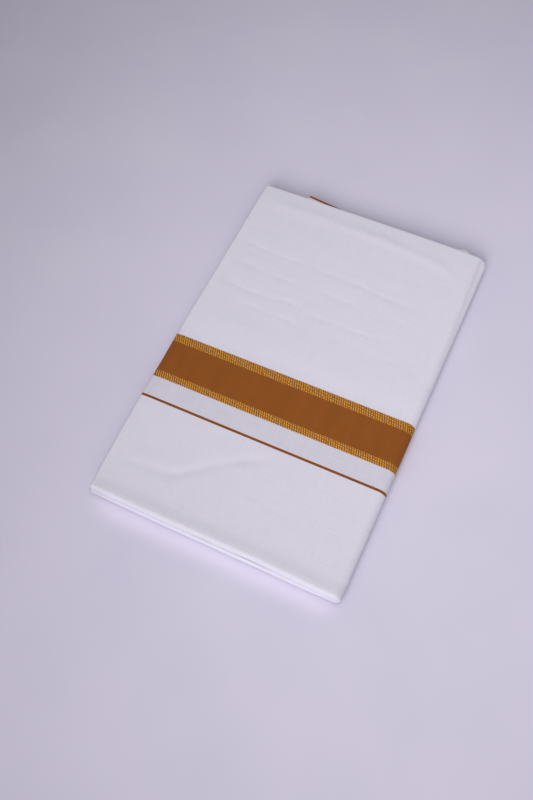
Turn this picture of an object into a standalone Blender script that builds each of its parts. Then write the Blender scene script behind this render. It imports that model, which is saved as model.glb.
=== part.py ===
"""A dhoti, one unstitched length of white cotton with a brown and gold border, folded to a flat packet.

The cloth is folded across its width into panels, then halved again and again along its length. The outer
leaf so formed goes over the top, round the right side and back underneath. Its last panel is a flap that
comes up over the front short side and ends at the selvedge, where the border is.
+Y runs along the packet's long sides, from the front to the far short side, +X to the right, +Z up.
The origin is the middle of the footprint, on the surface that the packet lies on.
"""

import math

import bpy
import numpy as np

# The packet
PACK_WIDTH = 0.2416
PACK_LENGTH = 0.3745  # with the stripe that reaches past the far side
PACK_HEIGHT = 0.0150  # over the flap, where every leaf is thickest
WALL = 0.0010
SEAM = 0.0003  # between neighbouring solids

# Stretches of the flap, along the packet
FLAP_LENGTH = 0.1723
GOLD_OUTER_WIDTH = 0.0084
BROWN_WIDTH = 0.0333
GOLD_INNER_WIDTH = 0.0068
PIN_FROM_SELVEDGE = 0.0686
PIN_WIDTH = 0.0022

# Rounded edges of the outer leaf
LEFT_ROLL_SHARE = 0.13  # radius of the upper left roll, as a share of the local height
LEFT_ROLL_TURN = 245  # degrees, where the upper left roll ends, with the top of the roll at 90
LEFT_FOOT_ROLL = 0.00185
LEFT_FOOT_TURN = -225  # where the lower left roll ends, with its lowest point at -90
SPINE_DEPTH = 0.0085  # how far in from the right side the leaf starts to turn down
FRONT_ROLL = 0.0036
FRONT_ROLL_TURNS = (150, 122, 94, 64, 32)  # degrees from the top, where the front roll has its rows
FLAT_MARGIN = 0.015  # share of the flat top, at each end, over which the front roll dies away
TOP_SHARES = (FLAT_MARGIN, 0.27, 0.5, 0.73, 1 - FLAT_MARGIN)
UNDER_SHARES = (0.25, 0.5, 0.75)
UNDER_EDGE = 0.0005  # how far the underleaf stops short of the front
TUCK = 0.0040  # how far the plain panel runs in under the flap

# The spine's upper half stands back more and more towards the far side
SPINE_STEP = 0.0042
SPINE_STEP_START = 0.0170
SPINE_STEP_TURN = 32  # degrees round the spine's middle, over which it steps back
SPINE_STEP_RISE = 0.0030  # and the height above and below the middle, for the layers inside

# The stripe that reaches past the far side, and the lip of white cloth near the far right corner
STRIPE_REACH = 0.0032
STRIPE_START_X = -0.0718
STRIPE_END_X = -0.0308
STRIPE_END_SHARE = 0.15  # of the reach, that is left at the stripe's thin end
STRIPE_BLUNT_END = 0.0045  # length of its far edge that runs straight
STRIPE_CORNER = 0.0008  # cut off its far left corner
STRIPE_BOTTOM = 0.0110
STRIPE_ROOT = 0.0011
LIP_X = 0.0952
LIP_HALF_WIDTH = 0.0110
LIP_REACH = 0.0026
LIP_LEVELS = (0.70, 0.86)  # shares of the stack's height

# The folded layers stand back from the two corners where the front roll dies away
CORNER_INSET = 0.0032
CORNER_EASE = 0.0060

# Where the stack's upper and lower grids have their lines
STACK_ACROSS = (0, 0.02, 0.12, 0.268, 0.416, 0.564, 0.712, 0.86, 0.91, 0.955, 0.985, 1)
STACK_ALONG = (0.01, 0.03, 0.06, 0.09, 0.12, 0.15)
STACK_FRONT = 0.0040  # of the upper and lower grids' first row, from the front
STACK_FAR = 0.0020

FRONT_Y = -PACK_LENGTH / 2
FAR_Y = PACK_LENGTH / 2 - STRIPE_REACH
LEFT_X = -PACK_WIDTH / 2
RIGHT_X = PACK_WIDTH / 2
ROLL_START_X = LEFT_X + LEFT_ROLL_SHARE * PACK_HEIGHT
ROLL_END_X = RIGHT_X - SPINE_DEPTH
SELVEDGE_Y = FRONT_Y + FLAP_LENGTH
GOLD_OUTER_Y = SELVEDGE_Y - GOLD_OUTER_WIDTH
BROWN_Y = GOLD_OUTER_Y - BROWN_WIDTH
GOLD_INNER_Y = BROWN_Y - GOLD_INNER_WIDTH
PIN_TOP_Y = SELVEDGE_Y - PIN_FROM_SELVEDGE
PIN_LOW_Y = PIN_TOP_Y - PIN_WIDTH

# Height of the plain panel's upper face: (distance beyond the selvedge, height)
PANEL_HEIGHTS = (
    (0.000, 0.01370),
    (0.014, 0.01400),
    (0.035, 0.01375),
    (0.110, 0.01360),
    (0.200, 0.01340),
)

# The folded layers under the outer leaf, from the lowest: share of the stack's height, how far each stands
# back from the left, front and far sides, and how deep its rounded edge is. The outer leaf's rolls cover
# the upper half of the front side, and the top and the foot of the left side.
LAYERS = (
    # share, left, front, far, roundness
    (0.105, 0.0026, 0.0007, 0.0009, 0.0005),
    (0.090, 0.0026, 0.0003, 0.0004, 0.0005),
    (0.100, 0.0011, 0.0008, 0.0013, 0.0005),
    (0.105, 0.0005, 0.0002, 0.0002, 0.0005),
    (0.095, 0.0010, 0.0007, 0.0009, 0.0005),
    (0.100, 0.0012, 0.0034, 0.0016, 0.0005),
    (0.105, 0.0006, 0.0034, 0.0007, 0.0005),
    (0.100, 0.0014, 0.0034, 0.0012, 0.0005),
    (0.090, 0.0034, 0.0034, 0.0018, 0.0005),
    (0.110, 0.0034, 0.0034, 0.0016, 0.0005),
)
EDGE_SAMPLES = (-0.92, -0.45, 0.45, 0.92)  # places on each layer's edge, from its lower to its upper face

# The hollow at the heart of the right-hand fold, open at the front
EYE_X = 0.1128
EYE_HALF_WIDTH = 0.0045
EYE_HALF_HEIGHT = 0.0012
EYE_DEPTH = 0.0050


def smooth_step(value, start, end):
    share = np.clip((value - start) / (end - start), 0, 1)
    return share * share * (3 - 2 * share)


def leaf_height(y):
    """Height of the outer leaf's upper face."""
    if y <= SELVEDGE_Y:
        return PACK_HEIGHT
    beyond, heights = zip(*PANEL_HEIGHTS)
    return float(np.interp(y - SELVEDGE_Y, beyond, heights))


def spine_step(y):
    """How far the upper half of the spine stands back at this y."""
    share = np.clip((y - SPINE_STEP_START) / (FAR_Y - SPINE_STEP_START), 0, 1)
    return SPINE_STEP * float(share) ** 1.2


def leaf_section(y, height):
    """Outer face of the leaf across the packet: (x, z, share of it that lies flat on top), from the upper
    left roll over the top, round the spine and along the underside to the roll at the lower left."""
    roll = LEFT_ROLL_SHARE * height
    points = []
    for angle in np.radians(np.linspace(LEFT_ROLL_TURN, 90, 7)):
        points.append((LEFT_X + roll + roll * math.cos(angle), height - roll + roll * math.sin(angle), 0))
    flat_start, flat_end = LEFT_X + roll, RIGHT_X - SPINE_DEPTH - spine_step(y)
    for share in TOP_SHARES:
        points.append((flat_start + share * (flat_end - flat_start), height, 1))
    for angle in np.radians(np.linspace(90, -90, 12)):
        x = RIGHT_X - SPINE_DEPTH + SPINE_DEPTH * math.cos(angle)
        x -= spine_step(y) * smooth_step(math.degrees(angle), 0, SPINE_STEP_TURN)
        points.append((x, height / 2 + height / 2 * math.sin(angle), 0))
    foot = LEFT_X + LEFT_FOOT_ROLL
    for share in UNDER_SHARES:
        points.append((RIGHT_X - SPINE_DEPTH + share * (foot - RIGHT_X + SPINE_DEPTH), 0, 0))
    for angle in np.radians(np.linspace(-90, LEFT_FOOT_TURN, 5)):
        points.append((foot + LEFT_FOOT_ROLL * math.cos(angle), LEFT_FOOT_ROLL * (1 + math.sin(angle)), 0))
    return points


def wall_object(name, rows, material):
    """A wall of cloth: the outer face is a grid of rows, and Solidify thickens it inwards."""
    columns = len(rows[0])
    faces = [
        (r * columns + c, r * columns + c + 1, (r + 1) * columns + c + 1, (r + 1) * columns + c)
        for r in range(len(rows) - 1)
        for c in range(columns - 1)
    ]
    mesh = bpy.data.meshes.new(name)
    mesh.from_pydata([point for row in rows for point in row], [], faces)
    mesh.shade_smooth()
    obj = bpy.data.objects.new(name, mesh)
    thicken = obj.modifiers.new("Cloth thickness", "SOLIDIFY")
    thicken.thickness = WALL
    thicken.offset = -1
    thicken.use_even_offset = True
    mesh.materials.append(material)
    packet.objects.link(obj)
    return obj


def plain_rows(stations):
    """Rows of the leaf at these places along the packet."""
    return [[(x, y, z) for x, z, _ in leaf_section(y, leaf_height(y))] for y in stations]


def front_roll_rows():
    """Rows of the flap where it rolls over the front side, from the inner end of the roll to its top."""
    rows = []
    angles = np.radians(FRONT_ROLL_TURNS)
    for step, angle in enumerate(angles):
        row = []
        cut_share = 1 - step / len(angles)
        for x, z, flat in leaf_section(FRONT_Y, PACK_HEIGHT):
            cut_y = FRONT_Y + UNDER_EDGE + (FRONT_ROLL - UNDER_EDGE) * (1 - cut_share)
            roll_y = FRONT_Y + FRONT_ROLL - FRONT_ROLL * math.sin(angle)
            roll_z = PACK_HEIGHT - FRONT_ROLL + FRONT_ROLL * math.cos(angle)
            row.append((x, roll_y if flat else cut_y, roll_z if flat else z))
        rows.append(row)
    return rows


def panel_edge_row(edge_y):
    """First row of the plain panel: at the selvedge all round, and tucked under the flap on top."""
    height = leaf_height(SELVEDGE_Y + SEAM)
    return [(x, edge_y - (TUCK if flat else 0), z) for x, z, flat in leaf_section(SELVEDGE_Y + SEAM, height)]


def stack_levels():
    """The stack's levels: share of its height, the layer there, and the place on that layer's edge."""
    levels, start = [], 0.0
    total = sum(layer[0] for layer in LAYERS)
    for layer in LAYERS:
        for place in EDGE_SAMPLES:
            levels.append(((start + layer[0] * (place + 1) / 2) / total, layer, place))
        start += layer[0]
    levels[0] = (0.0, *levels[0][1:])
    levels[-1] = (1.0, *levels[-1][1:])
    return levels


def nearby_heights(y):
    """The leaf's heights just before and just after y, which differ at the selvedge."""
    return {leaf_height(y - TUCK / 2), leaf_height(y + TUCK + 3 * SEAM)}


def stack_left(y, z, layer, edge):
    """Left side of the stack: inside the leaf's upper roll and clear of its end, and layered below it."""
    insets = []
    for height in nearby_heights(y):
        roll = LEFT_ROLL_SHARE * height
        room = roll - WALL - SEAM
        above_centre = z - (height - roll)
        if abs(above_centre) < room:
            insets.append(roll - math.sqrt(room**2 - above_centre**2))
        else:
            insets.append(max(layer[1] + edge, roll if above_centre > -roll - 2 * SEAM else 0))
    return LEFT_X + max(insets)


def stack_right(y, z):
    """Right side of the stack, inside the spine."""
    reaches = []
    for height in nearby_heights(y):
        middle = height / 2
        share = min(1, abs(z - middle) / (middle - WALL - SEAM))
        reach = (SPINE_DEPTH - WALL - 2 * SEAM) * math.sqrt(1 - share**2)
        reaches.append(reach - spine_step(y) * smooth_step(z - middle, -SPINE_STEP_RISE, SPINE_STEP_RISE))
    return RIGHT_X - SPINE_DEPTH + min(reaches)


def stack_front(x, z, layer, edge):
    """Front of the stack: inside the flap's roll above, layered below, with the spine's eye."""
    room = FRONT_ROLL - WALL - SEAM
    above_centre = z - (PACK_HEIGHT - FRONT_ROLL)
    if abs(above_centre) < room:
        inset = FRONT_ROLL - math.sqrt(room**2 - above_centre**2)
    else:
        inset = layer[2] + edge
    if above_centre > -room:
        past_roll = max(ROLL_START_X - x, x - ROLL_END_X)
        inset += CORNER_INSET * smooth_step(past_roll, -CORNER_EASE, 0)
    across = math.exp(-(((x - EYE_X) / EYE_HALF_WIDTH) ** 2))
    upright = math.exp(-(((z - PACK_HEIGHT / 2) / EYE_HALF_HEIGHT) ** 2))
    return FRONT_Y + inset + EYE_DEPTH * across * upright


def stack_far(x, level, layer, edge):
    """Far side of the stack: layered, with the lip that stands out near the right corner."""
    lip = 0
    if LIP_LEVELS[0] < level < LIP_LEVELS[1]:
        lip = LIP_REACH * math.exp(-2 * ((x - LIP_X) / LIP_HALF_WIDTH) ** 2)
    return FAR_Y - layer[3] - edge + lip


def make_stack(material):
    """The folded layers: rings of points, one for each height, closed by a grid below and another above."""
    step_y = SELVEDGE_Y - TUCK - SEAM
    along = [FRONT_Y + 0.010, -0.12, -0.06, step_y - SEAM, step_y, SELVEDGE_Y + WALL]
    along += [*STACK_ALONG, FAR_Y - 2 * STACK_FAR]
    points, index = [], {}

    def stack_top(y):
        covered = PACK_HEIGHT if y < step_y - SEAM / 2 else leaf_height(max(y, SELVEDGE_Y + SEAM))
        return covered - WALL - SEAM

    def place(level_index, column, row, level):
        share, layer, place_on_edge = level
        edge = layer[4] * (1 - math.sqrt(1 - place_on_edge**2))
        rows = [FRONT_Y + STACK_FRONT, *along, FAR_Y - STACK_FAR]
        low = WALL + SEAM
        z = low + share * (stack_top(rows[row]) - low)
        left = stack_left(rows[row], z, layer, edge)
        right = stack_right(rows[row], z)
        x = left + STACK_ACROSS[column] * (right - left)
        y = rows[row]
        if row == 0:
            y = stack_front(x, z, layer, edge)
        elif row == len(rows) - 1:
            y = stack_far(x, share, layer, edge)
        index[level_index, column, row] = len(points)
        points.append((x, y, z))

    levels = stack_levels()
    last_column, last_row = len(STACK_ACROSS) - 1, len(along) + 1
    rim = [(c, 0) for c in range(last_column)]
    rim += [(last_column, r) for r in range(last_row)]
    rim += [(c, last_row) for c in range(last_column, 0, -1)]
    rim += [(0, r) for r in range(last_row, 0, -1)]
    for number, level in enumerate(levels):
        whole = number in (0, len(levels) - 1)
        cells = [(c, r) for c in range(last_column + 1) for r in range(last_row + 1)] if whole else rim
        for column, row in cells:
            place(number, column, row, level)
    faces = []
    for number in range(len(levels) - 1):
        for here, after in zip(rim, rim[1:] + rim[:1]):
            faces.append(
                (index[number, *here], index[number, *after], index[number + 1, *after], index[number + 1, *here])
            )
    for number, turned in ((0, True), (len(levels) - 1, False)):
        for c in range(last_column):
            for r in range(last_row):
                corners = [(c, r), (c + 1, r), (c + 1, r + 1), (c, r + 1)]
                face = [index[number, *corner] for corner in corners]
                faces.append(face[::-1] if turned else face)
    mesh = bpy.data.meshes.new("folded_layers")
    mesh.from_pydata(points, [], faces)
    mesh.shade_smooth()
    mesh.set_sharp_from_angle(angle=math.radians(40))
    mesh.materials.append(material)
    packet.objects.link(bpy.data.objects.new("folded_layers", mesh))


def make_far_stripe(material):
    """A lower layer's brown line, reaching past the far side and tapering away to the right."""
    root_y, edge_y = FAR_Y - STRIPE_ROOT, FAR_Y + STRIPE_REACH
    outline = [
        (STRIPE_START_X, root_y),
        (STRIPE_END_X, root_y),
        (STRIPE_END_X, FAR_Y + STRIPE_REACH * STRIPE_END_SHARE),
        (STRIPE_START_X + STRIPE_BLUNT_END, edge_y),
        (STRIPE_START_X + STRIPE_CORNER, edge_y),
        (STRIPE_START_X, edge_y - STRIPE_CORNER),
    ]
    mesh = bpy.data.meshes.new("far_stripe")
    points = [(x, y, STRIPE_BOTTOM) for x, y in outline]
    mesh.from_pydata(points, [], [tuple(range(len(points)))])
    mesh.materials.append(material)
    obj = bpy.data.objects.new("far_stripe", mesh)
    thicken = obj.modifiers.new("Cloth thickness", "SOLIDIFY")
    thicken.thickness = WALL
    thicken.offset = 1
    packet.objects.link(obj)


def cloth_material(name, colour, roughness, metallic=0.0):
    material = bpy.data.materials.new(name)
    material.use_nodes = True
    shader = material.node_tree.nodes["Principled BSDF"]
    shader.inputs["Base Color"].default_value = (*colour, 1)
    shader.inputs["Roughness"].default_value = roughness
    shader.inputs["Metallic"].default_value = metallic
    return material


for old in list(bpy.data.objects):
    bpy.data.objects.remove(old, do_unlink=True)
packet = bpy.data.collections.new("folded_dhoti")
bpy.context.scene.collection.children.link(packet)

white = cloth_material("white_cotton", (0.69, 0.68, 0.71), 0.85)
brown = cloth_material("brown_cotton", (0.24, 0.075, 0.012), 0.75)
gold = cloth_material("gold_zari", (0.50, 0.26, 0.05), 0.40, 0.5)

make_stack(white)
make_far_stripe(brown)
ground_rows = front_roll_rows() + plain_rows(
    (FRONT_Y + FRONT_ROLL, -0.165, -0.14, -0.112, PIN_LOW_Y - SEAM)
)
wall_object("flap_ground", ground_rows, white)
wall_object("pinstripe", plain_rows((PIN_LOW_Y, PIN_TOP_Y)), brown)
wall_object("flap_margin", plain_rows((PIN_TOP_Y + SEAM, GOLD_INNER_Y - SEAM)), white)
wall_object("border_gold_inner", plain_rows((GOLD_INNER_Y, BROWN_Y - SEAM)), gold)
wall_object("border_brown", plain_rows((BROWN_Y, (BROWN_Y + GOLD_OUTER_Y) / 2, GOLD_OUTER_Y - SEAM)), brown)
wall_object("border_gold_outer", plain_rows((GOLD_OUTER_Y, SELVEDGE_Y)), gold)
panel_rows = [panel_edge_row(SELVEDGE_Y + SEAM)] + plain_rows(
    (SELVEDGE_Y + 0.003, 0.0, 0.014, 0.03, 0.055, 0.08, 0.11, 0.14, 0.165, FAR_Y)
)
wall_object("plain_panel", panel_rows, white)
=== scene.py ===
"""Looks of the folded dhoti: a white cotton packet with a brown and gold border, lying on a pale floor.

The outer leaf goes over the top, round the right side (the spine) and back underneath. It is one sheet here,
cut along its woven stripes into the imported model's stretches. Under it lie the packet's other layers, one
solid whose rounded, layered edges show on the left and far sides.
+Y runs from the front short side to the far one, +X to the spine, +Z up. Everything is in metres, and angles
are in degrees, except where a comment says otherwise.
"""

import math

import bpy
import numpy as np
from mathutils import Matrix, Vector


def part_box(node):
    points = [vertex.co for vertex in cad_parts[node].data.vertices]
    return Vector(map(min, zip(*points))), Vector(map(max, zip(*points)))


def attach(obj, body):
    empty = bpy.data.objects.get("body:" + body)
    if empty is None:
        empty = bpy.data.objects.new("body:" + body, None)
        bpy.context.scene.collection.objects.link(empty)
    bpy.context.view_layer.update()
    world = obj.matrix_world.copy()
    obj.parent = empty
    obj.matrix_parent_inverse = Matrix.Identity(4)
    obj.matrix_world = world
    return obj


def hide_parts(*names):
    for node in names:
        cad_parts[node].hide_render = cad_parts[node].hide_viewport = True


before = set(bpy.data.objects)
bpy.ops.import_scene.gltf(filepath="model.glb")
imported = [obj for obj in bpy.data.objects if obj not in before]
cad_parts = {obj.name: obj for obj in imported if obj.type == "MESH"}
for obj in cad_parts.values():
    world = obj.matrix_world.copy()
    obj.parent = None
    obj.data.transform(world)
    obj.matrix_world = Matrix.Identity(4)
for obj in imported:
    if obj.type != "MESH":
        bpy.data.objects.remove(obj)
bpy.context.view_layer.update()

MM = 0.001


def low(node):
    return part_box(node)[0]


def high(node):
    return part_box(node)[1]


def seam(nearer, farther):
    """Where two stretches of the leaf meet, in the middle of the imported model's gap."""
    return (high(nearer).y + low(farther).y) / 2


# ---------------------------------------------------------------- sizes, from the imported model
LEFT = low("border_brown").x
RIGHT = high("border_brown").x
FRONT = low("flap_ground").y
FAR = high("plain_panel").y
TOP = high("flap_ground").z
SELVEDGE = high("border_gold_outer").y
PIN_LOW = seam("flap_ground", "pinstripe")
PIN_TOP = seam("pinstripe", "flap_margin")
GOLD_INNER = seam("flap_margin", "border_gold_inner")
BROWN = seam("border_gold_inner", "border_brown")
GOLD_OUTER = seam("border_brown", "border_gold_outer")

# ---------------------------------------------------------------- the leaf's own sizes
CLOTH = 0.3 * MM
TOP_STEP = 1.9 * MM  # spacing of the leaf's points
UNDER_STEP = 6.0 * MM

# The left side: a small roll at the top and a smaller one at the foot, each with a short tucked end
LEFT_ROLL = 1.9 * MM
LEFT_ROLL_STEP = 15
LEFT_TUCK = 3.0 * MM
LIP_END_SHARE = 0.45  # of the left roll's radius, that is left where it meets the front lips
LIP_END_TURN = 60  # how far round the front the left roll goes on shrinking
FOOT_ROLL = 0.60 * MM
FOOT_ROLL_STEP = 30
FOOT_INSET = 0.3 * MM
FOOT_FOLLOW = 0.5  # share of the upper side's insets that the foot follows
FOOT_CORNER_INSET = 1.7 * MM  # the foot stands further in towards the front
FOOT_CORNER_REACH = 0.040
# How far the leaf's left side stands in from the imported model's: (y, millimetres)
LEFT_INSETS = ((-0.184, 2.2), (-0.148, 1.6), (-0.0981, 0.9), (-0.043, 1.1), (0.0019, 0.9), (0.0619, 1.8),
               (0.1219, 2.4), (0.187, 3.1))
SHOULDER_DROP = 1.3 * MM  # the border sinks this much towards the left roll
SHOULDER_WIDTH = 9.0 * MM
SHOULDER_LENGTH = 0.050
CORNER_DROP = 1.6 * MM  # and so does the flap's front left corner
CORNER_WIDTH = 22 * MM
CORNER_REACH = 0.030
CORNER_DROP_TURN = 50  # from here round the front, the corner's drop dies away

# The front: the leaf turns over into an upper and a lower lip
FRONT_ROLL = 3.7 * MM
FRONT_ROLL_TURN = 172
FRONT_ROLL_STEP = 8
UPPER_LIP_FLATNESS = 1.0  # plain round
LOWER_LIP_FLATNESS = 0.42  # under 1, so the lower lip lies flat on the floor nearly as far as its front
GROOVE_FLATNESS = 0.45  # and the two lips lie close together, with a narrow groove between them
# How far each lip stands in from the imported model's front: (x, millimetres)
UPPER_LIP_INSETS = ((-0.121, 2.4), (-0.060, 1.9), (0.010, 1.9), (0.060, 1.5), (0.100, 0.4), (0.121, 0.2))
LOWER_LIP_INSETS = ((-0.121, 1.8), (-0.060, 0.8), (0.010, 0.4), (0.060, 0.1), (0.100, -0.3), (0.121, 0.1))
END_REACH = 0.030  # rows this near to the front or far side bend with that side's uneven line

# The far side: a small roll
FAR_ROLL = 0.6 * MM
FAR_ROLL_TURN = 150
FAR_ROLL_STEP = 15
FAR_INSETS = ((-0.121, 2.6), (-0.080, 2.0), (0.000, 1.9), (0.080, 2.2), (0.121, 3.2))

# The right side: the spine, with its angles counted from level, up being 90
SPINE_DEPTH = 8.5 * MM  # how far in from the right side the leaf starts to turn down
SPINE_TURN_STEP = 6
SPINE_FOLLOW = 0.6  # share of the spine's depth over which the front and far lines still bend
SPINE_STEP = 2.5 * MM  # its upper half stands back more and more towards the far side
SPINE_STEP_START = 0.042
SPINE_STEP_POWER = 1.3
SPINE_STEP_TURNS = (2, 38)
CORNER_CUT = 3.0 * MM  # its far corner is cut off slantwise
CORNER_LENGTH = 9.0 * MM
CORNER_CUT_END = 1.8 * MM  # short of the far side, where the cut is whole
CORNER_TURNS = (-15, 35)
SPINE_DENT = 0.75 * MM  # a soft dent along its shoulder, deeper towards the far side
SPINE_DENT_LEAST = 0.10 * MM
SPINE_DENT_PLACES = (0.045, 0.175)
SPINE_DENT_TURN = 44
SPINE_DENT_WIDTH = 17
# The cloth is pinched round the eye, where both lips meet: (angle round the spine, depth in mm, half width)
PINCHES = ((62, 0.5, 9), (28, 0.9, 8), (-4, 0.6, 7), (-34, 0.8, 9), (-66, 0.4, 8))
PINCH_TURNS = (50, 105)  # round the front, where the pinches grow

# Depth of the upper face under the packet's top: (y, millimetres)
PANEL_DROPS = ((-0.0181, 0.45), (-0.01, 0.75), (0.006, 0.55), (0.0319, 0.85), (0.0919, 1.05), (0.152, 1.15),
               (0.168, 1.30), (0.184, 1.75))
# The flap's upper face rises to its front roll and to the border
FLAP_DROPS = ((-0.187, 0.00), (-0.1824, 0.05), (-0.1784, 0.52), (-0.1734, 1.05), (-0.167, 1.18),
              (-0.153, 1.12), (-0.118, 0.72), (-0.083, 0.35), (-0.053, 0.10), (-0.028, 0.05), (-0.014, 0.15))
FLAP_TUCK = 5.0 * MM  # how far the plain panel runs in under the flap
UNDER_FLAP_GAP = 0.05 * MM
TUCK_EASE = 0.1 * MM


def smooth(value, start, end):
    share = np.clip((value - start) / (end - start), 0, 1)
    return share * share * (3 - 2 * share)


def along(value, table):
    """A smooth curve through a short table of (place in metres, amount in millimetres)."""
    places, amounts = np.array(table).T
    slopes = np.gradient(amounts, places)
    value = np.clip(value, places[0], places[-1])
    here = np.clip(np.searchsorted(places, value) - 1, 0, len(places) - 2)
    width = places[here + 1] - places[here]
    t = (value - places[here]) / width
    rise = amounts[here] * (2 * t**3 - 3 * t**2 + 1) + amounts[here + 1] * (3 * t**2 - 2 * t**3)
    lean = slopes[here] * (t**3 - 2 * t**2 + t) + slopes[here + 1] * (t**3 - t**2)
    return (rise + lean * width) * MM


def bell(distance, width):
    return np.exp(-((distance / width) ** 2))


# ---------------------------------------------------------------- creases and soft wrinkles
# Each crease: its points (x, y) in millimetres, depth in millimetres (a ridge is negative), and half width.
CREASES = (
    # on the flap: a wide V of a short and a long dent, a small branch where they meet, and faint ones
    (((-106, -151), (-88, -149), (-70, -146.5), (-56, -144.5), (-44, -143)), 0.44, 4.2),
    (((-68, -153), (-56, -146), (-44, -137), (-30, -126), (-12, -113), (6, -103), (30, -92)), 0.66, 4.4),
    (((-60, -138), (-54, -147), (-50, -158)), 0.18, 2.6),
    (((-108, -127), (-88, -130), (-70, -127)), 0.12, 3.4),
    (((-70, -105), (-48, -108), (-30, -106)), 0.08, 3.4),
    (((34, -140), (58, -136), (84, -139)), 0.08, 4.4),
    (((24, -118), (56, -121), (92, -116)), 0.06, 5.0),
    # on the plain panel: a long ridge near the far side, and old press folds from side to side
    (((-122, 161), (-60, 163), (0, 162), (56, 158), (84, 153), (106, 144)), -0.62, 5.5),
    (((-124, 105.5), (-96, 106), (-74, 104.5), (-50, 103.5), (-36, 104.5)), 0.36, 2.2),
    (((-40, 104.5), (-6, 103), (18, 101.5), (46, 99.5), (84, 96.5)), 0.30, 2.4),
    (((-106, 96), (-72, 97.5), (-44, 96)), 0.15, 2.4),
    (((-116, 80.5), (-84, 82), (-52, 79.5), (-30, 80)), 0.22, 2.6),
    (((-22, 82), (6, 80), (34, 77.5)), 0.24, 2.4),
    (((42, 77), (64, 78), (92, 74)), 0.10, 2.8),
    (((-122, 58), (-92, 56), (-66, 55), (-34, 57), (-16, 55.5)), 0.34, 2.2),
    (((-20, 53.5), (8, 52.5), (40, 53), (76, 55)), 0.26, 2.4),
    (((-58, 66), (-30, 68), (0, 66)), 0.14, 2.4),
    (((-92, 40.5), (-58, 39), (-18, 37.5), (14, 36)), 0.26, 2.6),
    (((6, 39), (36, 37.5), (64, 35), (102, 36.5)), 0.15, 2.6),
    (((-60, 29), (-24, 30), (8, 28)), 0.08, 3.0),
    (((-112, 126), (-70, 129), (-36, 127)), 0.10, 3.4),
    (((6, 131), (44, 128), (88, 123)), 0.08, 3.8),
    (((-116, 18), (-84, 15), (-52, 17)), -0.12, 4.0),
    (((-112, 146), (-66, 149), (-30, 147)), 0.08, 4.0),
)
CREASE_SHIFT = (-0.8 * MM, 1.25 * MM)  # of all the creases together, from the packet's middle
CREASE_PIECES = 7  # straight pieces between two points of a crease
CREASE_FADE = 0.26  # share of a crease's length over which it dies away, at each end
CREASE_REACH = 4.0  # half widths, beyond which a crease is too shallow to count
CREASE_WANDER = 0.55 * MM
FADE_LEFT = 8.0 * MM  # creases and waves die away this near to the two long sides
FADE_RIGHT = 22 * MM


def rounded(points):
    """A smooth line through a crease's points, as many short pieces."""
    points = np.array(points) * MM + CREASE_SHIFT
    padded = np.concatenate([[2 * points[0] - points[1]], points, [2 * points[-1] - points[-2]]])
    t = np.linspace(0, 1, CREASE_PIECES, endpoint=False)[:, None]
    line = []
    for a, b, c, d in zip(padded, padded[1:], padded[2:], padded[3:]):
        bend = t**2 * (a - 2.5 * b + 2 * c - d / 2) + t**3 * ((d - a) / 2 + 1.5 * (b - c))
        line.append(b + t * (c - a) / 2 + bend)
    return np.concatenate([*line, points[-1:]])


CREASE_LINES = [(rounded(points), depth, half_width) for points, depth, half_width in CREASES]


def crease_depth(x, y):
    """How deep the creases are at points of the upper face."""
    total = np.zeros_like(x)
    wander = np.sin(x / 0.0062 + 2 * np.sin(x / 0.019)) + 0.6 * np.sin(x / 0.0027 + y / 0.03)
    y = y + CREASE_WANDER * wander
    for line, depth, half_width in CREASE_LINES:
        reach = CREASE_REACH * half_width * MM
        if y.min() > line[:, 1].max() + reach or y.max() < line[:, 1].min() - reach:
            continue
        start, way = line[:-1, None], np.diff(line, axis=0)[:, None]
        length = np.linalg.norm(way, axis=2)
        away = np.stack([x, y], -1)[None] - start
        t = np.clip((away * way).sum(2) / length**2, 0, 1)
        distance = np.linalg.norm(away - t[..., None] * way, axis=2)
        nearest = distance.argmin(0)
        everyone = np.arange(len(x))
        place = (nearest + t[nearest, everyone]) / len(length)
        fade = smooth(place, -0.02, CREASE_FADE) * smooth(1 - place, -0.02, CREASE_FADE)
        patchy = 0.85 + 0.25 * np.sin(place * 17 + depth * 40)
        total += depth * MM * fade * patchy * bell(distance[nearest, everyone], half_width * MM)
    return total


def waves(x, y):
    """Long soft unevenness of the upper face: heights in millimetres over lengths in metres."""
    swell = 0.10 * np.sin(x / 0.031 + 1.3 * np.sin(y / 0.052) + 0.4)
    swell += 0.09 * np.sin(y / 0.027 - 1.1 * np.sin(x / 0.047) + 2.0)
    swell += 0.05 * np.sin((x + 0.7 * y) / 0.0155 + 1.5 * np.sin(y / 0.038))
    swell += 0.035 * np.sin((y - 0.06 * x) / 0.0061 + 2.2 * np.sin(x / 0.033 + y / 0.021))
    return swell * MM


def lip_waves(x, turn):
    """Small puckers along the front roll, at this angle of it."""
    pucker = 0.09 * np.sin(x / 0.0115 + 1.9 * np.sin(x / 0.029))
    pucker = pucker + 0.05 * np.sin(x / 0.0043 + 2 * np.sin(x / 0.017))
    return pucker * MM * smooth(turn, 10, 80)


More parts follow.
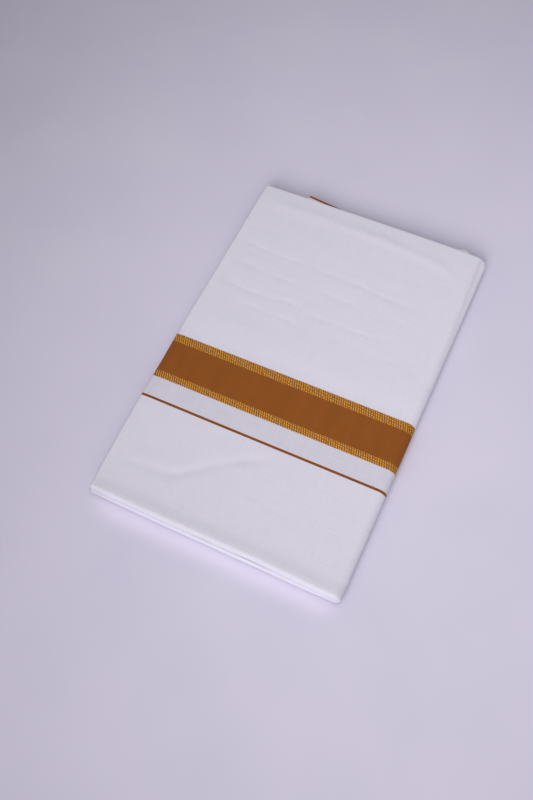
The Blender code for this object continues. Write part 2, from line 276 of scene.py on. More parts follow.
# ---------------------------------------------------------------- the outer leaf
def columns():
    """The leaf's columns, from its tucked left edge round the packet to the foot: (kind, place).

    A place is an angle on a roll or the spine, and elsewhere the share of the way across.
    """
    made = [("tuck", share) for share in (1.0, 0.5)]
    made += [("roll", turn) for turn in np.arange(180, 0, -LEFT_ROLL_STEP)]
    made += [("top", share) for share in np.linspace(0, 1, round((RIGHT - LEFT) / TOP_STEP))]
    made += [("spine", turn) for turn in np.arange(90 - SPINE_TURN_STEP, -90, -SPINE_TURN_STEP)]
    made += [("under", share) for share in np.linspace(0, 1, round((RIGHT - LEFT) / UNDER_STEP))]
    made += [("foot", turn) for turn in np.arange(FOOT_ROLL_STEP, 181, FOOT_ROLL_STEP)]
    made += [("foot_tuck", share) for share in (0.5, 1.0)]
    return made


COLUMNS = columns()
KINDS = np.array([kind for kind, _ in COLUMNS])
PLACES = np.array([place for _, place in COLUMNS])
ANGLES = np.radians(PLACES)
IS_TOP = KINDS == "top"
FLAT_COLUMN = int(np.argmax(IS_TOP)) + 40  # a column of the flat top, where the cloth's lengths are measured


def spine_step(y):
    share = np.clip((y - SPINE_STEP_START) / (FAR - SPINE_STEP_START), 0, 1)
    return SPINE_STEP * share**SPINE_STEP_POWER


def spine_dent(y):
    """Depth of the dent along the spine's shoulder, at every column."""
    depth = SPINE_DENT * smooth(y, *SPINE_DENT_PLACES) + SPINE_DENT_LEAST
    return depth * bell(PLACES - SPINE_DENT_TURN, SPINE_DENT_WIDTH)


def lip_reach(turn, flatness):
    """How far behind its front a lip's face is, at this angle of the front roll."""
    power = GROOVE_FLATNESS if turn > 90 else flatness
    return FRONT_ROLL * (1 - math.sin(math.radians(turn)) ** power)


def end_lines(y, x, front_turn, far_turn):
    """Where a row's upper and lower halves lie, with the uneven lines of the front and far sides."""
    if front_turn:
        upper = FRONT + along(x, UPPER_LIP_INSETS) + lip_reach(front_turn, UPPER_LIP_FLATNESS)
        lower = FRONT + along(x, LOWER_LIP_INSETS) + lip_reach(front_turn, LOWER_LIP_FLATNESS)
        return upper, lower
    if far_turn:
        line = FAR - along(x, FAR_INSETS) - FAR_ROLL * (1 - math.sin(math.radians(far_turn)))
        return line, line
    near_front = 1 - smooth(y, FRONT + FRONT_ROLL, FRONT + END_REACH)
    near_far = smooth(y, FAR - END_REACH, FAR - FAR_ROLL)
    upper = y + near_front * along(x, UPPER_LIP_INSETS) - near_far * along(x, FAR_INSETS)
    lower = y + near_front * along(x, LOWER_LIP_INSETS) - near_far * along(x, FAR_INSETS)
    return upper, lower


def left_slump(y, x, left, front_turn):
    """How much the cloth sinks towards its left side, at the border and at the front corner."""
    border = SHOULDER_DROP * bell(y - (BROWN + GOLD_OUTER) / 2, SHOULDER_LENGTH)
    border = 2 * border * (1 - smooth(x, left - SHOULDER_WIDTH, left + SHOULDER_WIDTH))
    corner = CORNER_DROP * bell(y - FRONT, CORNER_REACH)
    corner = corner * (1 - smooth(front_turn, CORNER_DROP_TURN, FRONT_ROLL_TURN))
    corner = 2 * corner * (1 - smooth(x, left - CORNER_WIDTH, left + CORNER_WIDTH))
    return border + corner


def spine_stand_back(y, step):
    """How far the spine stands in from the right side, at every column."""
    cut = CORNER_CUT * smooth(y, FAR - CORNER_LENGTH, FAR - CORNER_CUT_END)
    cut = cut * np.cos(ANGLES) * (1 - smooth(PLACES, *CORNER_TURNS))
    return step * smooth(PLACES, *SPINE_STEP_TURNS) + cut


def leaf_row(y, front_turn=0.0, far_turn=0.0, flap=True):
    """One row of the leaf's outer face: points (columns, 3). The row is at y, or on the front or far roll."""
    end_angle = math.radians(front_turn + far_turn)
    # the face's outward direction, as it turns over the rolls
    lean_y = -math.sin(math.radians(front_turn)) + math.sin(math.radians(far_turn))
    lean_z = math.cos(end_angle)
    sunk = (FRONT_ROLL if front_turn else FAR_ROLL) * (1 - math.cos(end_angle))
    left = LEFT + along(y, LEFT_INSETS)
    step = spine_step(y)
    x_flat = left + LEFT_ROLL + PLACES * (RIGHT - SPINE_DEPTH - step - left - LEFT_ROLL)
    x_spine = RIGHT - SPINE_DEPTH + SPINE_DEPTH * SPINE_FOLLOW * np.cos(ANGLES)
    x_line = np.select([IS_TOP, KINDS == "spine", np.isin(KINDS, ("roll", "tuck")), KINDS == "foot"],
                       [x_flat, x_spine, left, LEFT], RIGHT - PLACES * (RIGHT - LEFT))
    y_top, y_low = end_lines(y, x_line, front_turn, far_turn)
    height = TOP - along(y, FLAP_DROPS if flap else PANEL_DROPS)
    middle = height / 2
    points = np.zeros((len(COLUMNS), 3))

    def put(kind, x, y, z):
        chosen = KINDS == kind
        points[chosen] = np.stack([np.broadcast_to(v, len(COLUMNS))[chosen] for v in (x, y, z)], -1)

    # the top, with its creases and waves
    lift = waves(x_flat, y_top) * (1 - smooth(front_turn, 0, 90)) - crease_depth(x_flat, y_top)
    lift = lift + lip_waves(x_line, front_turn)
    fade = smooth(x_flat, left + LEFT_ROLL, left + FADE_LEFT)
    fade = fade * (1 - smooth(x_flat, RIGHT - FADE_RIGHT, RIGHT - SPINE_DEPTH - step))
    slump = left_slump(y, x_flat, left, front_turn)
    lift = np.where(IS_TOP, lift * fade - slump, 0)
    put("top", x_flat, y_top + lift * lean_y, height - sunk + lift * lean_z)

    # the left roll gets smaller round the front, and hangs straight down at the far side
    side = LEFT_ROLL * (1 - (1 - LIP_END_SHARE) * smooth(front_turn, 0, LIP_END_TURN))
    side_y, side_z = (0.0, 1.0) if far_turn else (lean_y, lean_z)
    side_top = height - sunk - slump[IS_TOP][0]
    turned = side * (1 - np.cos(ANGLES))
    put("roll", left + LEFT_ROLL - side * np.sin(ANGLES), y_top - turned * side_y, side_top - turned * side_z)
    put("tuck", left + LEFT_ROLL + PLACES * LEFT_TUCK, y_top - 2 * side * side_y,
        side_top - 2 * side * side_z)

    # the spine gets lower round the front and far rolls
    shrink = 1 - sunk / middle
    dent = spine_dent(y) * shrink
    pinch = sum(depth * MM * bell(PLACES - turn, width) for turn, depth, width in PINCHES)
    pinch = pinch * smooth(front_turn, *PINCH_TURNS)
    reach = SPINE_DEPTH * shrink - dent
    upper = (1 + np.sin(ANGLES)) / 2
    put("spine", RIGHT - SPINE_DEPTH + reach * np.cos(ANGLES) - spine_stand_back(y_low, step),
        y_low + upper * (y_top - y_low) + pinch, middle + (middle * shrink - dent) * np.sin(ANGLES))

    # the underside and its foot
    foot = LEFT + FOOT_INSET + along(y, LEFT_INSETS) * FOOT_FOLLOW
    foot = foot + FOOT_CORNER_INSET * (1 - smooth(y, FRONT, FRONT + FOOT_CORNER_REACH))
    put("under", RIGHT - SPINE_DEPTH + PLACES * (foot + FOOT_ROLL - RIGHT + SPINE_DEPTH), y_low, sunk)
    turned = FOOT_ROLL * (1 - np.cos(ANGLES))
    put("foot", foot + FOOT_ROLL * (1 - np.sin(ANGLES)), y_low - turned * lean_y, sunk + turned * lean_z)
    put("foot_tuck", foot + FOOT_ROLL + PLACES * LEFT_TUCK, y_low - 2 * FOOT_ROLL * lean_y,
        sunk + 2 * FOOT_ROLL * lean_z)
    return points


def stations(start, end):
    """Places from start to end, about a step apart, both ends included."""
    return list(np.linspace(start, end, max(2, round((end - start) / TOP_STEP) + 1)))


def grid_normals(grid):
    down = np.gradient(grid, axis=0)
    across = np.gradient(grid, axis=1)
    normals = np.cross(across, down)
    return normals / np.maximum(np.linalg.norm(normals, axis=2, keepdims=True), 1e-12)


def flat_places(grid):
    """Where each point lies on the cloth laid flat: (along the cloth, from its front end to its far one)."""
    runs = []
    for line in (grid[len(grid) // 2], grid[:, FLAT_COLUMN]):
        runs.append(np.concatenate([[0], np.cumsum(np.linalg.norm(np.diff(line, axis=0), axis=1))]))
    return np.stack(np.meshgrid(*runs), -1)


# ---------------------------------------------------------------- objects
LEAF_SHARP = 50  # edges that turn more than this are shaded sharp
SOLID_SHARP = 60


def link(name, data):
    obj = bpy.data.objects.new(name, data)
    bpy.context.scene.collection.objects.link(obj)
    return obj


def cloth_object(name, points, faces, flat_at, material, sharp):
    """An object from points and faces, on which flat_at is each point's place on the flat cloth."""
    mesh = bpy.data.meshes.new(name)
    mesh.from_pydata(points.tolist(), [], faces)
    layer = mesh.uv_layers.new(name="cloth")
    corners = np.empty(len(mesh.loops), np.int32)
    mesh.loops.foreach_get("vertex_index", corners)
    layer.uv.foreach_set("vector", flat_at[corners].astype(np.float32).ravel())
    mesh.shade_smooth()
    mesh.set_sharp_from_angle(angle=math.radians(sharp))
    mesh.materials.append(material)
    return link(name, mesh)


def cloth_piece(name, grid, normals, flat_at, material):
    """A closed thin sheet: the grid's outer face, an inner face one cloth's thickness in, and the edges."""
    rows, cols = grid.shape[:2]
    count = rows * cols
    outer = grid.reshape(-1, 3)
    inner = (grid - normals * CLOTH).reshape(-1, 3)
    index = np.arange(count).reshape(rows, cols)
    quads = np.stack([index[:-1, :-1], index[:-1, 1:], index[1:, 1:], index[1:, :-1]], -1).reshape(-1, 4)
    rim = np.concatenate([index[0, :-1], index[:-1, -1], index[-1, :0:-1], index[:0:-1, 0]])
    after = np.roll(rim, -1)
    edges = np.stack([rim, rim + count, after + count, after], -1)
    faces = np.concatenate([quads, quads[:, ::-1] + count, edges])
    flat_both = np.tile(flat_at.reshape(-1, 2), (2, 1))
    return cloth_object(name, np.concatenate([outer, inner]), faces.tolist(), flat_both, material, LEAF_SHARP)


def own(obj, node=None):
    """A piece of the packet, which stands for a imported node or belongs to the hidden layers."""
    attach(obj, "root")
    if node:
        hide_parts(node)


# ---------------------------------------------------------------- materials
class Shader:
    """A Principled material and short ways to add nodes to it."""

    def __init__(self, name, roughness, **fixed):
        self.material = bpy.data.materials.new(name)
        self.material.use_nodes = True
        self.tree = self.material.node_tree
        self.principled = self.tree.nodes["Principled BSDF"]
        self.principled.inputs["Roughness"].default_value = roughness
        for socket, value in fixed.items():
            self.principled.inputs[socket.replace("_", " ")].default_value = value

    def node(self, kind, **settings):
        made = self.tree.nodes.new(kind)
        for key, value in settings.items():
            setattr(made, key, value)
        return made

    def feed(self, value, socket):
        """A link where value is a node's output, and a plain value otherwise."""
        if isinstance(value, bpy.types.NodeSocket):
            self.tree.links.new(value, socket)
        else:
            socket.default_value = value

    def math(self, operation, a, b=0.0):
        made = self.node("ShaderNodeMath", operation=operation)
        self.feed(a, made.inputs[0])
        self.feed(b, made.inputs[1])
        return made.outputs[0]

    def flat(self):
        """(u, v): the place on the flat cloth, in millimetres."""
        parts = self.node("ShaderNodeSeparateXYZ")
        self.feed(self.node("ShaderNodeUVMap", uv_map="cloth").outputs["UV"], parts.inputs[0])
        return [self.math("DIVIDE", parts.outputs[axis], MM) for axis in (0, 1)]

    def noise(self, u, v, u_size, v_size, detail=2.0, seed=0.0):
        """Noise from 0 to 1 whose blots are about u_size by v_size millimetres."""
        place = self.node("ShaderNodeCombineXYZ")
        self.feed(self.math("DIVIDE", u, u_size), place.inputs[0])
        self.feed(self.math("DIVIDE", v, v_size), place.inputs[1])
        place.inputs[2].default_value = seed
        made = self.node("ShaderNodeTexNoise")
        made.inputs["Scale"].default_value = 1.0
        made.inputs["Detail"].default_value = detail
        self.feed(place.outputs[0], made.inputs["Vector"])
        return made.outputs["Fac"]

    def blend(self, share, colours):
        """A colour ramp: colours are (place, (r, g, b))."""
        ramp = self.node("ShaderNodeValToRGB")
        stops = ramp.color_ramp.elements
        while len(stops) < len(colours):
            stops.new(0.5)
        for stop, (place, colour) in zip(stops, colours):
            stop.position = place
            stop.color = (*colour, 1)
        self.feed(share, ramp.inputs[0])
        return ramp.outputs[0]

    def ribs(self, place, spacing):
        """Height of round ribs from 0 to 1, this many millimetres apart."""
        return self.math("ABSOLUTE", self.math("SINE", self.math("MULTIPLY", place, math.pi / spacing)))

    def weave(self, u, v, thread):
        """Height of a plain weave, 0 to 1, with threads this many millimetres apart."""
        across = self.math("SINE", self.math("MULTIPLY", u, math.pi / thread))
        down = self.math("SINE", self.math("MULTIPLY", v, math.pi / thread))
        over = self.math("GREATER_THAN", self.math("MULTIPLY", across, down), 0.0)
        rest = self.math("SUBTRACT", 1.0, over)
        return self.math("ADD", self.math("MULTIPLY", self.math("ABSOLUTE", across), over),
                         self.math("MULTIPLY", self.math("ABSOLUTE", down), rest))

    def total(self, *parts):
        """The sum of some (value, weight) pairs."""
        weighted = [value if weight == 1 else self.math("MULTIPLY", value, weight) for value, weight in parts]
        made = weighted[0]
        for value in weighted[1:]:
            made = self.math("ADD", made, value)
        return made

    def finish(self, colour, height, bump, roughness):
        """bump is the height's real size in millimetres."""
        self.feed(colour, self.principled.inputs["Base Color"])
        self.feed(roughness, self.principled.inputs["Roughness"])
        made = self.node("ShaderNodeBump")
        made.inputs["Strength"].default_value = 1.0
        made.inputs["Distance"].default_value = bump * MM
        self.feed(height, made.inputs["Height"])
        self.feed(made.outputs[0], self.principled.inputs["Normal"])
        return self.material


def scaled(colour, factor):
    return tuple(channel * factor for channel in colour)


WHITE = (0.680, 0.663, 0.750)
BROWN_YARN = (0.245, 0.072, 0.0085)
# the pinstripe's own brown, made a little darker than the border's as painted shade for the far stripe behind
# the far side
PIN_YARN_AND_SHADE = (0.230, 0.070, 0.0060)
ZARI_LIGHT = (0.90, 0.415, 0.042)
ZARI_DARK = (0.190, 0.058, 0.0015)
ZARI_MIDDLE_SHARE = 0.28  # of the light gold, in the middle tone

# Weaves, in millimetres on the flat cloth
WHITE_THREAD = 0.42
BROWN_RIB = 0.55
BROWN_CROSS_RIB = 0.40
ZARI_THREAD = 0.35
ZARI_PITCH = 2.2  # from one float to the next
ZARI_ROW = 1.5
ZARI_LEAN = -0.27  # of a pitch, that the floats lean over one row
ZARI_ROW_OFFSET = 0.5  # of a pitch, from each row to the next
ZARI_SHARPNESS = (2.2, 0.6)  # of a float's ends along the cloth, and across it
WHITE_BUMP = 0.07
BROWN_BUMP = 0.05
ZARI_BUMP = 0.06


def white_cotton(name, tone, contrast):
    """tone darkens the cloth, and contrast is how much its threads vary in shade."""
    s = Shader(name, 0.86, Sheen_Weight=0.12, Sheen_Roughness=0.5, IOR=1.45, Specular_IOR_Level=0.25)
    u, v = s.flat()
    slubs = s.total((s.noise(u, v, 26, 0.8, 2, 1.0), 1), (s.noise(u, v, 0.8, 22, 2, 7.0), 1))
    mottle = s.noise(u, v, 1.3, 1.1, 3, 3.0)
    puckers = s.noise(u, v, 7, 3, 3, 5.0)
    dark, light = scaled(WHITE, tone * (1 - contrast)), scaled(WHITE, tone * (1 + contrast))
    colour = s.blend(s.total((slubs, 0.35), (mottle, 0.3)), ((0.30, dark), (0.70, light)))
    height = s.total((s.weave(u, v, WHITE_THREAD), 0.5), (slubs, 0.8), (puckers, 1.2))
    return s.finish(colour, height, WHITE_BUMP, s.math("ADD", s.math("MULTIPLY", mottle, 0.12), 0.80))


def brown_cotton(name, yarn):
    """A close rib, its ribs running along the border."""
    s = Shader(name, 0.74, Sheen_Weight=0.03, Sheen_Roughness=0.4, IOR=1.45, Specular_IOR_Level=0.22)
    u, v = s.flat()
    streaks = s.noise(u, v, 9, 60, 3, 2.0)
    yarns = s.noise(u, v, 30, 0.7, 2, 4.0)
    shades = ((0.25, scaled(yarn, 0.88)), (0.5, yarn), (0.8, scaled(yarn, 1.12)))
    colour = s.blend(s.total((streaks, 0.6), (yarns, 0.4)), shades)
    height = s.total((s.ribs(v, BROWN_RIB), 1), (s.ribs(u, BROWN_CROSS_RIB), 0.4), (yarns, 0.8))
    return s.finish(colour, height, BROWN_BUMP, s.math("ADD", s.math("MULTIPLY", streaks, 0.15), 0.66))


def gold_zari(name):
    """Zari twill: short bright floats along the warp, each row half a step on from the last."""
    s = Shader(name, 0.42, Metallic=0.30, IOR=1.5, Specular_IOR_Level=0.5)
    u, v = s.flat()
    rows = s.math("DIVIDE", v, ZARI_ROW)
    shift = s.total((s.math("FLOOR", rows), ZARI_ROW_OFFSET), (rows, ZARI_LEAN))
    across = s.math("ADD", s.math("DIVIDE", u, ZARI_PITCH), shift)
    float_u = s.math("POWER", s.ribs(across, 1.0), ZARI_SHARPNESS[0])
    float_v = s.math("POWER", s.ribs(rows, 1.0), ZARI_SHARPNESS[1])
    floats = s.math("MULTIPLY", float_u, float_v)
    fine = s.weave(u, v, ZARI_THREAD)
    lit = s.math("ADD", s.math("MULTIPLY", s.noise(u, v, 2.4, 1.5, 2, 6.0), 1.5), 0.05)
    tone = s.total((s.math("MULTIPLY", floats, lit), 1), (fine, 0.06))
    share = ZARI_MIDDLE_SHARE
    middle = tuple((1 - share) * dark + share * light for dark, light in zip(ZARI_DARK, ZARI_LIGHT))
    colour = s.blend(tone, ((0.14, ZARI_DARK), (0.40, middle), (0.66, ZARI_LIGHT)))
    height = s.total((floats, 2.0), (fine, 0.5))
    return s.finish(colour, height, ZARI_BUMP, s.math("SUBTRACT", 0.55, s.math("MULTIPLY", floats, 0.2)))


white = white_cotton("white_cotton", 0.99, 0.06)
# painted shade: the flap's white is a darker copy of the panel's same white cotton
flap_white_shaded = white_cotton("white_cotton_flap_shaded", 0.965, 0.06)
# painted shade: the margin between the pinstripe and the gold border is a darker copy of the same white
# cotton
margin_white_shaded = white_cotton("white_cotton_margin_shaded", 0.88, 0.10)
brown = brown_cotton("brown_cotton", BROWN_YARN)
pin_brown_and_shade = brown_cotton("pin_brown_cotton_and_shade", PIN_YARN_AND_SHADE)
gold = gold_zari("gold_zari")

# ---------------------------------------------------------------- the leaf's stretches
FLAP_STRETCHES = (
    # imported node, its far edge, material, record's slot
    ("flap_ground", PIN_LOW, flap_white_shaded, "white_cotton"),
    ("pinstripe", PIN_TOP, pin_brown_and_shade, "brown_cotton"),
    ("flap_margin", GOLD_INNER, margin_white_shaded, "white_cotton"),
    ("border_gold_inner", BROWN, gold, "gold_zari"),
    ("border_brown", GOLD_OUTER, brown, "brown_cotton"),
    ("border_gold_outer", SELVEDGE, gold, "gold_zari"),
)


def flap():
    """The flap, made as one sheet and cut along its stripes: (object, flat places) by the piece's name."""
    rows = [leaf_row(FRONT, front_turn=turn) for turn in np.arange(FRONT_ROLL_TURN, 0, -FRONT_ROLL_STEP)]
    start = FRONT + FRONT_ROLL
    rows.append(leaf_row(start))
    cuts = [0]
    for _, end, _, _ in FLAP_STRETCHES:
        rows += [leaf_row(y) for y in stations(start, end)[1:]]
        cuts.append(len(rows) - 1)
        start = end
    grid = np.array(rows)
    normals = grid_normals(grid)
    flat_at = flat_places(grid)
    pieces = {}
    for (node, _, material, slot_name), first, last in zip(FLAP_STRETCHES, cuts, cuts[1:]):
        name = node + "_cloth"
        part = slice(first, last + 1)
        obj = cloth_piece(name, grid[part], normals[part], flat_at[part], material)
        own(obj, node)
        pieces[name] = (obj, flat_at[part])
    return pieces


def plain_panel():
    """The leaf beyond the flap, whose first few millimetres lie under the flap."""
    rows = [leaf_row(y, flap=False) for y in stations(SELVEDGE - FLAP_TUCK, FAR - FAR_ROLL)]
    far_turns = np.arange(FAR_ROLL_STEP, FAR_ROLL_TURN + 1, FAR_ROLL_STEP)
    rows += [leaf_row(FAR, far_turn=turn, flap=False) for turn in far_turns]
    grid = np.array(rows)
    normals = grid_normals(grid)
    under_flap = 1 - smooth(grid[..., 1], SELVEDGE - TUCK_EASE, SELVEDGE + TUCK_EASE)
    grid -= normals * ((CLOTH + UNDER_FLAP_GAP) * under_flap)[..., None]
    flat_at = flat_places(grid)
    obj = cloth_piece("plain_panel_cloth", grid, normals, flat_at, white)
    own(obj, "plain_panel")
    return obj, flat_at


leaf_pieces = flap()
leaf_pieces["plain_panel_cloth"] = plain_panel()


# ---------------------------------------------------------------- the folded layers
# Layers from the underside up: (share of the height, then left, far and front insets in mm)
LAYERS = (
    (0.070, 0.9, 1.4, 1.15),
    (0.034, 0.5, 0.9, 1.05),
    (0.030, 1.1, 1.8, 1.15),
    (0.064, 0.4, 0.8, 1.05),
    (0.036, 0.9, 1.5, 1.10),
    (0.066, 0.2, 0.6, 1.05),
    (0.031, 0.8, 1.6, 1.15),
    (0.034, 0.3, 0.9, 1.05),
    (0.068, 0.7, 1.3, 1.10),
    (0.067, 0.5, 0.5, 1.00),
    (0.125, 0.9, 1.2, 1.05),
    (0.125, 0.3, 0.4, 1.10),
    (0.125, 0.7, 1.6, 1.00),
    (0.125, 1.2, 0.9, 1.05),
)
LAYERS_WHOLE = sum(layer[0] for layer in LAYERS)
LAYER_LEVELS = (-0.97, -0.8, -0.45, 0.0, 0.45, 0.8, 0.97)  # of a layer's rings, its two faces being -1 and 1
LAYER_PHASE = 1.7  # from one layer's unevenness to the next one's
SCALLOP_MOST = 0.9 * MM  # how far a layer's rounded edge goes in towards its faces
SCALLOP_SHARE = 0.72  # of its thickness, where that is less
FRONT_SCALLOP = 0.25  # share of the scallops' depth that is left at the front
RIM_POINTS_X = 96
RIM_POINTS_Y = 150
# Unevenness of the layers' edges: (height in mm, length in m, phases)
LEFT_RIPPLES = ((0.25, 0.023, 1), (0.15, 0.0087, 2))
FAR_RIPPLES = ((0.30, 0.027, 1), (0.20, 0.0093, 3))
LAYERS_FLOOR = 0.1 * MM  # the layers lie this far above the leaf's underside
ROOM_UNDER_FLAP = 2.5 * MM  # between the layers' top and the leaf's, for its creases and tucked panel
ROOM_UNDER_PANEL = 1.6 * MM
ROOM_EASE = 0.020
ROOM_IN_SPINE = 1.6 * MM
ROOM_IN_LIP = 0.15 * MM
FAR_FOLLOW = 0.5  # share of the leaf's far insets that the layers follow
RIM_ON_CLOTH = 2.0 * MM  # the rim's points and the stack's height, as the weave is laid on them
HEIGHT_ON_CLOTH = 40 * MM


def rim_shares():
    """Places round the rim, as shares of the way from left to right and from front to far."""
    x_steps = np.arange(RIM_POINTS_X) / RIM_POINTS_X
    y_steps = np.arange(RIM_POINTS_Y) / RIM_POINTS_Y
    shares_x = np.concatenate([x_steps, np.ones(RIM_POINTS_Y), 1 - x_steps, np.zeros(RIM_POINTS_Y)])
    shares_y = np.concatenate([np.zeros(RIM_POINTS_X), y_steps, np.ones(RIM_POINTS_X), 1 - y_steps])
    return shares_x, shares_y


def layer_rings():
    """The solid's rings from the underside up: (share of the height, layer's number, three insets)."""
    rings, start = [], 0.0
    for number, (share, left_in, far_in, front_in) in enumerate(LAYERS):
        scallop = min(SCALLOP_MOST, SCALLOP_SHARE * share * TOP / LAYERS_WHOLE)
        for place in LAYER_LEVELS:
            level = (start + share * (place + 1) / 2) / LAYERS_WHOLE
            round_in = scallop * (1 - math.sqrt(1 - place**2))
            insets = left_in * MM + round_in, far_in * MM + round_in, front_in * MM + FRONT_SCALLOP * round_in
            rings.append((level, number, *insets))
        start += share
    rings[0] = (0.0, *rings[0][1:])
    rings[-1] = (1.0, *rings[-1][1:])
    return rings


def ripple(place, ripples, phase):
    return MM * sum(height * np.sin(place / length + times * phase) for height, length, times in ripples)


def ring_points(shares_x, shares_y, level, number, left_in, far_in, front_in):
    """One ring of the layered solid, which keeps inside the leaf."""
    phase = number * LAYER_PHASE
    y_line = FRONT + shares_y * (FAR - FRONT)
    leaf_top = TOP - np.where(y_line < SELVEDGE, along(y_line, FLAP_DROPS), along(y_line, PANEL_DROPS))
    beyond_flap = smooth(y_line, SELVEDGE - ROOM_EASE, SELVEDGE + ROOM_EASE)
    room = ROOM_UNDER_FLAP + (ROOM_UNDER_PANEL - ROOM_UNDER_FLAP) * beyond_flap
    z = CLOTH + LAYERS_FLOOR + level * (leaf_top - 2 * CLOTH - room)
    left = LEFT + along(y_line, LEFT_INSETS) + left_in + ripple(y_line, LEFT_RIPPLES, phase)
    half = leaf_top / 2
    level_share = np.clip(np.abs(z - half) / (half - CLOTH), 0, 1)
    bulge = (SPINE_DEPTH - ROOM_IN_SPINE) * np.sqrt(1 - level_share**2)
    x_line = left + shares_x * (RIGHT - SPINE_DEPTH - spine_step(y_line) + bulge - left)
    far = FAR - far_in - along(x_line, FAR_INSETS) * FAR_FOLLOW + ripple(x_line, FAR_RIPPLES, phase)
    # each front lip is a quarter of the height from its middle to its faces
    lower = level < 0.5
    lip_middle = leaf_top * (0.25 if lower else 0.75)
    lip_room = 0.25 * leaf_top - CLOTH - ROOM_IN_LIP
    lip_depth = FRONT_ROLL - np.sqrt(np.maximum(lip_room**2 - (z - lip_middle) ** 2, 0))
    lip_line = along(x_line, LOWER_LIP_INSETS if lower else UPPER_LIP_INSETS)
    front = FRONT + lip_line + lip_depth + CLOTH + front_in
    return np.stack([x_line, front + shares_y * (far - front), z], -1)


def layered_solid():
    """The hidden panels as one solid, its sides scalloped layer by layer."""
    shares_x, shares_y = rim_shares()
    rings = layer_rings()
    loops = np.array([ring_points(shares_x, shares_y, *ring) for ring in rings])
    count = len(shares_x)
    index = np.arange(len(rings) * count).reshape(len(rings), count)
    after = np.roll(index, -1, axis=1)
    faces = np.stack([index[:-1], after[:-1], after[1:], index[1:]], -1).reshape(-1, 4).tolist()
    faces.append(index[0, ::-1].tolist())
    faces.append(index[-1].tolist())
    around = np.tile(np.arange(count) * RIM_ON_CLOTH, len(rings))
    up = np.repeat([ring[0] * HEIGHT_ON_CLOTH for ring in rings], count)
    flat_at = np.stack([around, up], -1)
    obj = cloth_object("folded_layers_cloth", loops.reshape(-1, 3), faces, flat_at, white, SOLID_SHARP)
    own(obj, "folded_layers")


layered_solid()

# ---------------------------------------------------------------- what stands out past the far side
# Edges of the lower layer's brown line and of a small white fold: (x, y) in millimetres
STRIPE_LINE = ((-70.8, 186.9), (-60.8, 185.9), (-50.8, 184.8), (-40.8, 183.7), (-30.8, 182.4))
STRIPE_LAYER_OFFSET = (-0.5, -2.3)  # of the white layer's edge from the brown line's
SMALL_LIP_LINE = ((81, 180.1), (86, 181.5), (91, 183.7), (96, 185.1), (99, 184.7), (102, 182.3), (104, 179.9))
LIP_PLACES = 15  # for each point of a lip's line
LIP_SMOOTHING = 7  # neighbouring places that are averaged, an odd number
LIP_ROLL_STEP = 30


def lip(name, far_line, width, level, thickness, material):
    """A thin fold of a lower layer standing out past the far side, with a round edge.

    far_line is its edge's (x, y) points in millimetres, width how far it runs in, level its middle's height.
    """
    line = np.array(far_line) * MM
    x = np.linspace(line[0, 0], line[-1, 0], LIP_PLACES * len(line))
    y = np.interp(x, line[:, 0], line[:, 1])
    y = np.pad(y, LIP_SMOOTHING // 2, mode="edge")
    y = np.convolve(y, np.full(LIP_SMOOTHING, 1 / LIP_SMOOTHING), "valid")
    radius = thickness / 2
    section = [(-width, -radius)]
    for angle in np.radians(np.arange(-90, 91, LIP_ROLL_STEP)):
        section.append((radius * (math.cos(angle) - 1), radius * math.sin(angle)))
    section.append((-width, radius))
    loops = np.array([np.stack([x, y + reach, np.full_like(x, level + rise)], -1) for reach, rise in section])
    rows, cols = loops.shape[:2]
    index = np.arange(rows * cols).reshape(rows, cols)
    after = np.roll(index, -1, axis=0)
    faces = np.stack([index[:, :-1], index[:, 1:], after[:, 1:], after[:, :-1]], -1)
    faces = faces.reshape(-1, 4).tolist()
    faces.append(index[::-1, -1].tolist())
    faces.append(index[:, 0].tolist())
    points = loops.reshape(-1, 3)
    return cloth_object(name, points, faces, points[:, :2], material, SOLID_SHARP)


# the far stripe's brown is the pinstripe's, darkened as painted shade
stripe = lip("far_stripe_cloth", STRIPE_LINE, 2.6 * MM, 11.9 * MM, 0.7 * MM, pin_brown_and_shade)
own(stripe, "far_stripe")
stripe_layer_line = np.array(STRIPE_LINE) + STRIPE_LAYER_OFFSET
stripe_layer = lip("stripe_layer_cloth", stripe_layer_line, 8 * MM, 12.0 * MM, 0.9 * MM, white)
own(stripe_layer)
small_lip = lip("small_lip_cloth", SMALL_LIP_LINE, 6 * MM, 11.6 * MM, 1.1 * MM, white)
own(small_lip)


# ---------------------------------------------------------------- floor, light and camera
FLOOR_HALF = 12.0
FLOOR_GAP = 0.2 * MM  # between the floor and the packet's underside
FLOOR_SHADES = ((0.60, 0.57, 0.69), (0.63, 0.60, 0.71))
LAMP_COLOUR = (1.0, 0.98, 1.0)
GLOW_COLOUR = (1.0, 0.93, 1.0)
SKY_COLOUR = (0.97, 0.96, 1.0)
SKY_STRENGTH = 0.300
CAMERA_AT = Vector((0.1742, -0.3728, 0.7548))
LOOK_AT = Vector((-0.0155, -0.0384, 0.0))
CAMERA_ROLL = -5.05
LENS = 41.22
SENSOR = 36
CLIP = (0.02, 20)


def floor():
    h = FLOOR_HALF
    mesh = bpy.data.meshes.new("floor")
    mesh.from_pydata([(-h, -h, 0), (h, -h, 0), (h, h, 0), (-h, h, 0)], [], [(0, 1, 2, 3)])
    mesh.materials.append(floor_material())
    obj = link("floor", mesh)
    obj.location = (0, 0, -FLOOR_GAP)


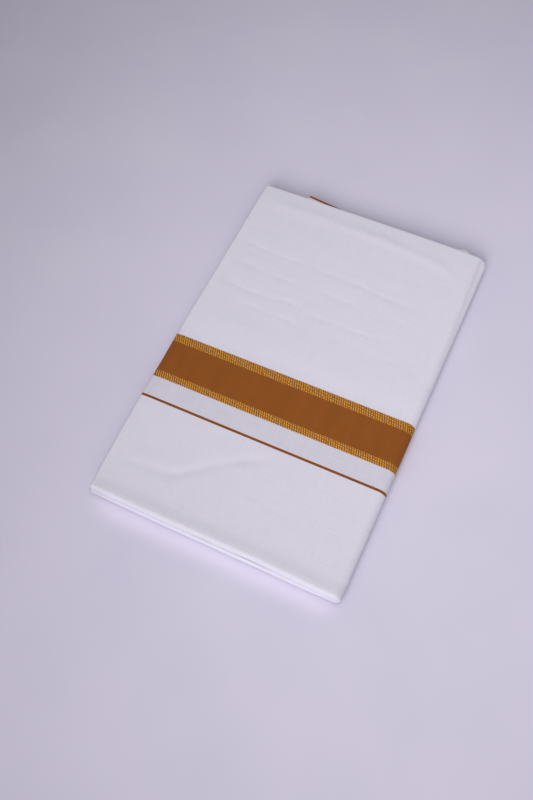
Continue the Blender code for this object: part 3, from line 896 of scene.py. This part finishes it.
def floor_material():
    s = Shader("pale_floor", 0.9, Specular_IOR_Level=0.1)
    noise = s.node("ShaderNodeTexNoise")
    noise.inputs["Scale"].default_value = 9.0
    noise.inputs["Detail"].default_value = 2.0
    s.feed(s.node("ShaderNodeTexCoord").outputs["Object"], noise.inputs["Vector"])
    colour = s.blend(noise.outputs["Fac"], tuple(zip((0.3, 0.7), FLOOR_SHADES)))
    s.feed(colour, s.principled.inputs["Base Color"])
    return s.material


def area_light(name, at, toward, size, spread, power, colour):
    """A rectangular lamp that the camera doesn't see."""
    data = bpy.data.lights.new(name, "AREA")
    data.shape = "RECTANGLE"
    data.size, data.size_y = size
    data.spread = math.radians(spread)
    data.energy = power
    data.color = colour
    obj = link(name, data)
    obj.location = at
    obj.rotation_euler = (Vector(toward) - Vector(at)).to_track_quat("-Z", "Y").to_euler()
    obj.visible_camera = False


def lights():
    area_light("key", at=(0.164, -0.874, 0.785), toward=(0.104, 0.851, 0), size=(0.9, 0.9), spread=78,
               power=3.50, colour=LAMP_COLOUR)
    area_light("top", at=(0.16, 0.021, 1.20), toward=(0.15, -0.079, 0), size=(1.2, 1.2), spread=66,
               power=1.46, colour=LAMP_COLOUR)
    # the glow on the floor along the front lips
    area_light("glow", at=(0.004, FRONT - 0.010, 0.020), toward=(0.004, FRONT - 0.002, 0.0),
               size=(0.215, 0.008), spread=100, power=0.0022, colour=GLOW_COLOUR)


def sky():
    world = bpy.data.worlds.new("soft_room")
    world.use_nodes = True
    background = world.node_tree.nodes["Background"]
    background.inputs["Color"].default_value = (*SKY_COLOUR, 1)
    background.inputs["Strength"].default_value = SKY_STRENGTH
    bpy.context.scene.world = world


def camera():
    data = bpy.data.cameras.new("camera")
    data.lens = LENS
    data.sensor_width = SENSOR
    data.clip_start, data.clip_end = CLIP
    obj = link("camera", data)
    turn = (LOOK_AT - CAMERA_AT).to_track_quat("-Z", "Y").to_matrix().to_4x4()
    roll = Matrix.Rotation(math.radians(CAMERA_ROLL), 4, "Z")
    obj.matrix_world = Matrix.Translation(CAMERA_AT) @ turn @ roll
    bpy.context.scene.camera = obj


floor()
lights()
sky()
camera()
bpy.context.scene.view_settings.view_transform = "Standard"
bpy.context.scene.view_settings.look = "None"
